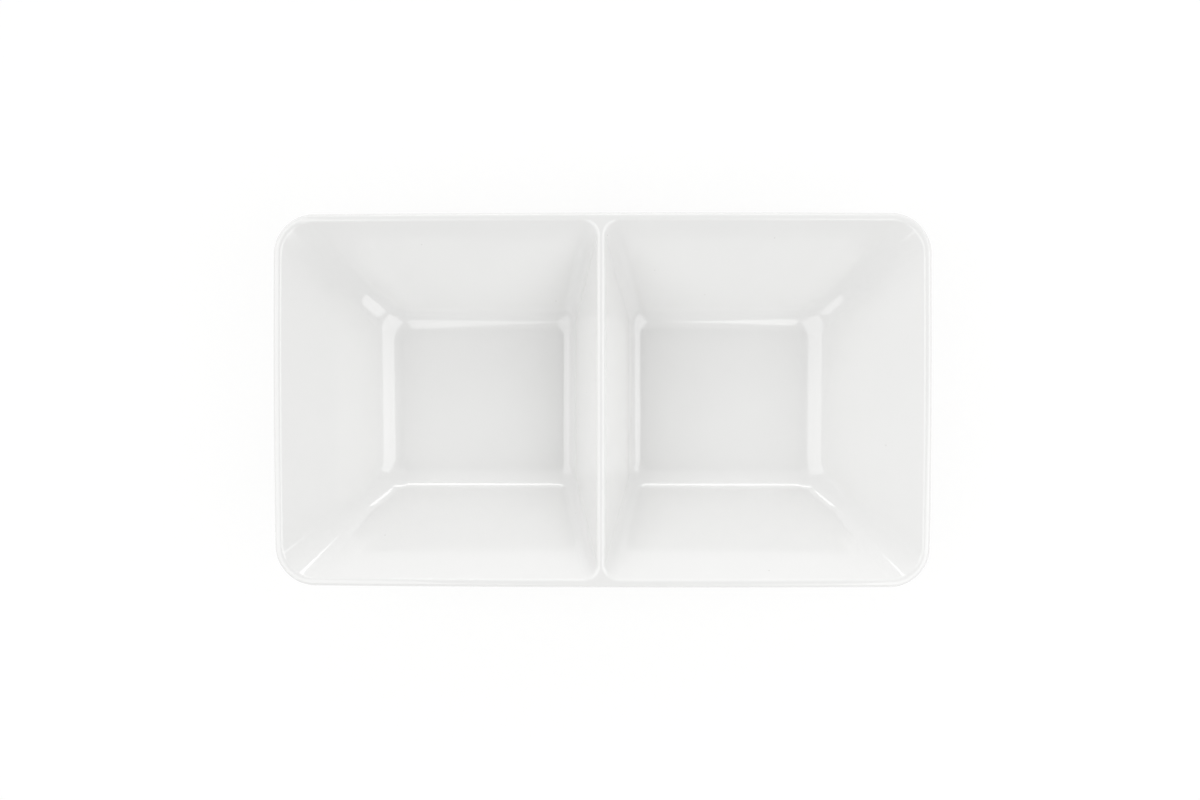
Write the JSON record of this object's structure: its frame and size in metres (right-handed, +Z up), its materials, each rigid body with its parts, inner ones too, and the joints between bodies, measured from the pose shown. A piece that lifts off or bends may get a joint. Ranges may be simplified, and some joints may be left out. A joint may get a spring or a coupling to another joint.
{
  "type": "divided serving dish",
  "caption": "Rectangular glossy white melamine dish with two square sloping-walled wells side by side, a thin upright divider, a rounded rim and a foot ring under each well.",
  "frame": {"origin": "on the table, under the middle of the dish", "axes": "+X along the row of wells from the left well to the right one, +Y to the back long side, +Z up out of the wells"},
  "size_m": [0.3, 0.171, 0.05],
  "materials": {
    "melamine": "glossy white moulded melamine"
  },
  "bodies": {
    "root": {"rim_frame": "melamine", "left_bowl": "melamine", "right_bowl": "melamine", "left_foot_ring": "melamine", "right_foot_ring": "melamine"}
  },
  "joints": []
}
